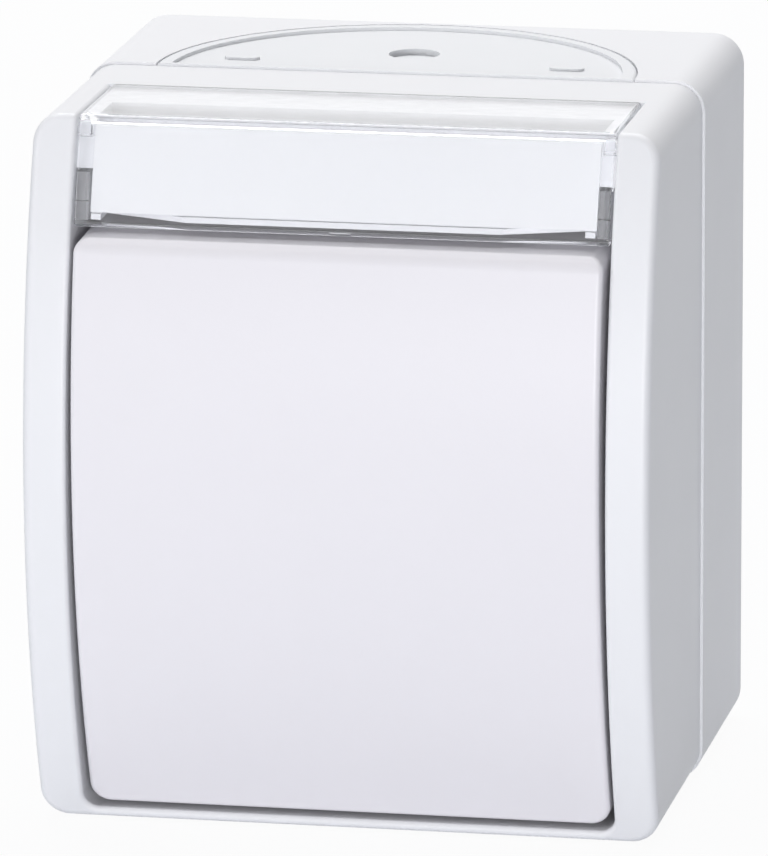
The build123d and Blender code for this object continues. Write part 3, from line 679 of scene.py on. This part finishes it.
class SWITCH_OT_screws(Operator):
    """Cut the slots and threads of the cover, bridge and terminal screws"""

    bl_idname = "wall_switch.make_screws"
    bl_label = "Make the screws"

    def execute(self, context):
        look = context.scene.switch_screws
        colour = context.scene.switch_insert.steel_colour
        steel = worked_metal("Turned steel", colour, stain=0.9, roughness=0.26, stretch=turned_stretch)
        front = (0, -1, 0)
        up = (0, 0, 1)
        down = (0, 0, -1)

        low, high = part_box("cover_screws")
        middle = (low + high) / 2
        radius = (high.x - low.x) / 2
        tops = [(middle.x, low.y, level) for level in (low.z + radius, high.z - radius)]
        surface = slotted_screw(look, radius, look.pan_round, high.y - low.y, look.cover_bite)
        self.put("cover_screws", placed(surface, tops, [front, front]), steel)

        low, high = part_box("bridge_screws")
        middle = (low + high) / 2
        radius = (high.z - low.z) / 2
        length = high.y - low.y
        tops = [(side, low.y, middle.z) for side in (low.x + radius, high.x - radius)]
        surface = slotted_screw(look, radius, look.pan_round, length, length - look.head_height)
        self.put("bridge_screws", placed(surface, tops, [front, front]), steel)

        low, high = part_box("terminal_screws")
        middle = (low + high) / 2
        radius = (high.y - low.y) / 2
        length = look.head_height + look.clamp_bite
        left = low.x + radius
        right = high.x - radius
        tops = [(left, middle.y, high.z), (right, middle.y, high.z), (right, middle.y, low.z)]
        surface = slotted_screw(look, radius, look.clamp_round, length, look.clamp_bite)
        self.put("terminal_screws", placed(surface, tops, [up, up, down]), steel)
        return {"FINISHED"}

    def put(self, node, surfaces, steel):
        """Show screws in place of a CAD node, on the housing."""
        piece = show(ring_mesh(node + "_threaded", surfaces))
        piece.data.materials.append(steel)
        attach(piece, "housing")
        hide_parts(node)


def grid_mesh(name, points):
    """Mesh of a grid of points with shape (rows, columns, 3), one quad for each four neighbours."""
    rows, columns = points.shape[:2]
    index = np.arange(rows * columns).reshape(rows, columns)
    corners = [index[:-1, :-1], index[:-1, 1:], index[1:, 1:], index[1:, :-1]]
    quads = np.stack(corners, axis=-1).reshape(-1, 4)
    mesh = bpy.data.meshes.new(name)
    mesh.from_pydata(points.reshape(-1, 3).tolist(), [], quads.tolist())
    mesh.polygons.foreach_set("use_smooth", np.ones(len(quads), bool))
    mesh.update()
    return mesh


def floor_points(size, level):
    """Flat grid in the plane z = level: x and y both run from minus half the size to plus half of it."""
    side = np.linspace(-size / 2, size / 2, floor_columns)
    x, y = np.meshgrid(side, side)
    return np.stack([x, y, np.full_like(x, level)], axis=-1)


def camera_axes(look):
    """Right, up and back directions of the camera from its azimuth, elevation and roll."""
    side = look.azimuth
    rise = look.elevation
    back = Vector((math.sin(side) * math.cos(rise), -math.cos(side) * math.cos(rise), math.sin(rise)))
    level = Vector((math.cos(side), math.sin(side), 0.0))
    upward = back.cross(level)
    right = level * math.cos(look.roll) + upward * math.sin(look.roll)
    up = upward * math.cos(look.roll) - level * math.sin(look.roll)
    return right, up, back


def area_lamp(name, place, aim, width, height, power, colour):
    """Rectangular soft lamp that faces a point."""
    lamp = bpy.data.lights.new(name, "AREA")
    lamp.shape = "RECTANGLE"
    lamp.size = width
    lamp.size_y = height
    lamp.energy = power
    lamp.color = colour
    holder = bpy.data.objects.new(name, lamp)
    holder.location = place
    holder.rotation_euler = (Vector(aim) - Vector(place)).to_track_quat("-Z", "Y").to_euler()
    bpy.context.scene.collection.objects.link(holder)


class SWITCH_OT_studio(Operator):
    """Set the camera, the pale floor, the lamps and the light from all round"""

    bl_idname = "wall_switch.set_studio"
    bl_label = "Set the studio"

    def execute(self, context):
        scene = context.scene
        look = scene.switch_studio
        right, up, back = camera_axes(look)
        turn = Matrix((right, up, back)).transposed().to_4x4()
        camera = bpy.data.objects.new("Camera", bpy.data.cameras.new("Camera"))
        camera.data.sensor_width = 36.0
        camera.data.lens = look.lens
        camera.data.clip_start = 0.05
        camera.data.clip_end = 50.0
        camera.matrix_world = Matrix.Translation(Vector(look.target) + back * look.distance) @ turn
        scene.collection.objects.link(camera)
        scene.camera = camera

        floor = show(grid_mesh("Floor", floor_points(look.floor_size, cad_low.z)))
        floor.data.materials.append(pale_floor("Floor pale", look))

        aim = (cad_low + cad_high) / 2
        for name, (place, width, height) in lamp_places.items():
            power = getattr(look, name)
            area_lamp(name.title() + " lamp", place, aim, width, height, power, look.lamp_colour)
        scene.world = pale_world("Studio", look)
        scene.view_settings.view_transform = "Standard"
        return {"FINISHED"}


class SWITCH_PT_panel(Panel):
    """Steps and settings of the switch"""

    bl_label = "Rocker wall switch"
    bl_space_type = "VIEW_3D"
    bl_region_type = "UI"
    bl_category = "Switch"

    def draw(self, context):
        for step in steps:
            self.layout.operator(step.bl_idname)
        for holder, kind in settings.items():
            box = self.layout.box()
            for name in kind.__annotations__:
                box.prop(getattr(context.scene, holder), name)


steps = [
    SWITCH_OT_housing,
    SWITCH_OT_rocker,
    SWITCH_OT_window,
    SWITCH_OT_insert,
    SWITCH_OT_metal,
    SWITCH_OT_screws,
    SWITCH_OT_studio,
]
settings = {
    "switch_shell": ShellFinish,
    "switch_window": WindowFinish,
    "switch_insert": InsertFinish,
    "switch_screws": ScrewSizes,
    "switch_studio": StudioSettings,
}


def register():
    """Register the classes and hang the settings on the scene."""
    for kind in [*settings.values(), *steps, SWITCH_PT_panel]:
        bpy.utils.register_class(kind)
    for holder, kind in settings.items():
        setattr(bpy.types.Scene, holder, PointerProperty(type=kind))


def unregister():
    """Take the settings and the classes away again."""
    for holder in settings:
        delattr(bpy.types.Scene, holder)
    for kind in reversed([*settings.values(), *steps, SWITCH_PT_panel]):
        bpy.utils.unregister_class(kind)


def main():
    """Run every step."""
    register()
    bpy.ops.wall_switch.finish_housing()
    bpy.ops.wall_switch.finish_rocker()
    bpy.ops.wall_switch.finish_window()
    bpy.ops.wall_switch.finish_insert()
    bpy.ops.wall_switch.finish_metal()
    bpy.ops.wall_switch.make_screws()
    bpy.ops.wall_switch.set_studio()


if __name__ == "__main__":
    main()
